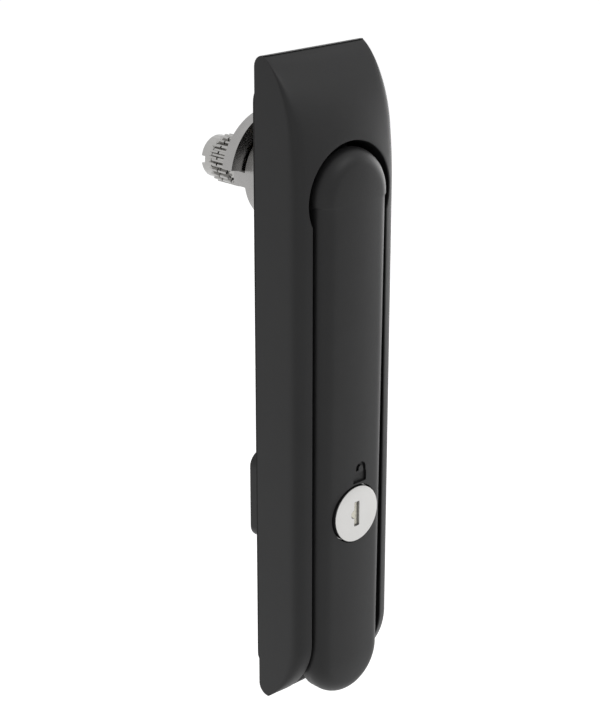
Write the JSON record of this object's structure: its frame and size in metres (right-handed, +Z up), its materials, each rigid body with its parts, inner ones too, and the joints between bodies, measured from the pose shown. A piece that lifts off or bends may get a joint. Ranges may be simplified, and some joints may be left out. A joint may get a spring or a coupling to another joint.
{
  "type": "swing handle latch",
  "caption": "Flush swing handle latch for a cabinet door, with a lever that lifts out, a quarter-turn spindle with stop disc, and a key lock in the lever.",
  "frame": {"origin": "centre of the housing's back, on the face that lies on the door, behind the gasket", "axes": "+X across the handle, to the right as seen from the front; +Y out of the back, into the cabinet; +Z up along the handle, towards the spindle"},
  "size_m": [0.0392, 0.0609, 0.2],
  "materials": {
    "black_moulding": "fine-grained matt black glass-filled polyamide",
    "rubber_black": "matt black rubber",
    "zinc_cast": "nickel-plated zinc die casting",
    "steel_bright": "bright zinc-plated steel",
    "steel_spring": "dark spring steel",
    "brass_turned": "turned brass",
    "lock_chrome": "satin chrome",
    "bush_natural": "natural acetal",
    "shutter_cream": "pale pressed metal"
  },
  "bodies": {
    "base": {"housing": "black_moulding", "gasket": "rubber_black", "spindle_bearing": "zinc_cast", "bearing_screws": "steel_bright", "pivot_block": "zinc_cast", "pivot_bushes": "bush_natural", "seal_ring": "rubber_black", "lock_box": "black_moulding", "box_screws": "steel_bright", "catch_plate": "steel_bright", "fixing_inserts": "brass_turned", "lever_buffers": "rubber_black"},
    "lever": {"lever": "black_moulding", "pivot_pin": "steel_bright", "lock_barrel": "zinc_cast", "barrel_clip": "steel_spring"},
    "plug": {"lock_plug": "brass_turned", "lock_face": "lock_chrome", "lock_wafers": "brass_turned", "lock_tongue": "steel_bright", "tongue_screw": "steel_bright"},
    "shutter": {"keyway_shutter": "shutter_cream"},
    "spindle": {"spindle": "steel_bright", "stop_disc": "zinc_cast", "thrust_washer": "brass_turned", "retaining_ring": "steel_spring"}
  },
  "joints": [
    {"name": "lever_swing", "type": "hinge", "parent": "base", "child": "lever", "pos_m": [0, -0.012, 0.0615], "axis": [-1, 0, 0], "range_deg": [0, 35]},
    {"name": "lock_turn", "type": "hinge", "parent": "lever", "child": "plug", "pos_m": [0, -0.022, -0.0377], "axis": [0, 1, 0], "range_deg": [0, 90]},
    {"name": "shutter_push", "type": "slide", "parent": "plug", "child": "shutter", "axis": [0, 1, 0], "range_m": [0, 0.0025], "stiffness_N_per_m": 20},
    {"name": "spindle_turn", "type": "hinge", "parent": "base", "child": "spindle", "pos_m": [0, 0.02, 0.0615], "axis": [0, 1, 0], "range_deg": [0, 90]}
  ]
}
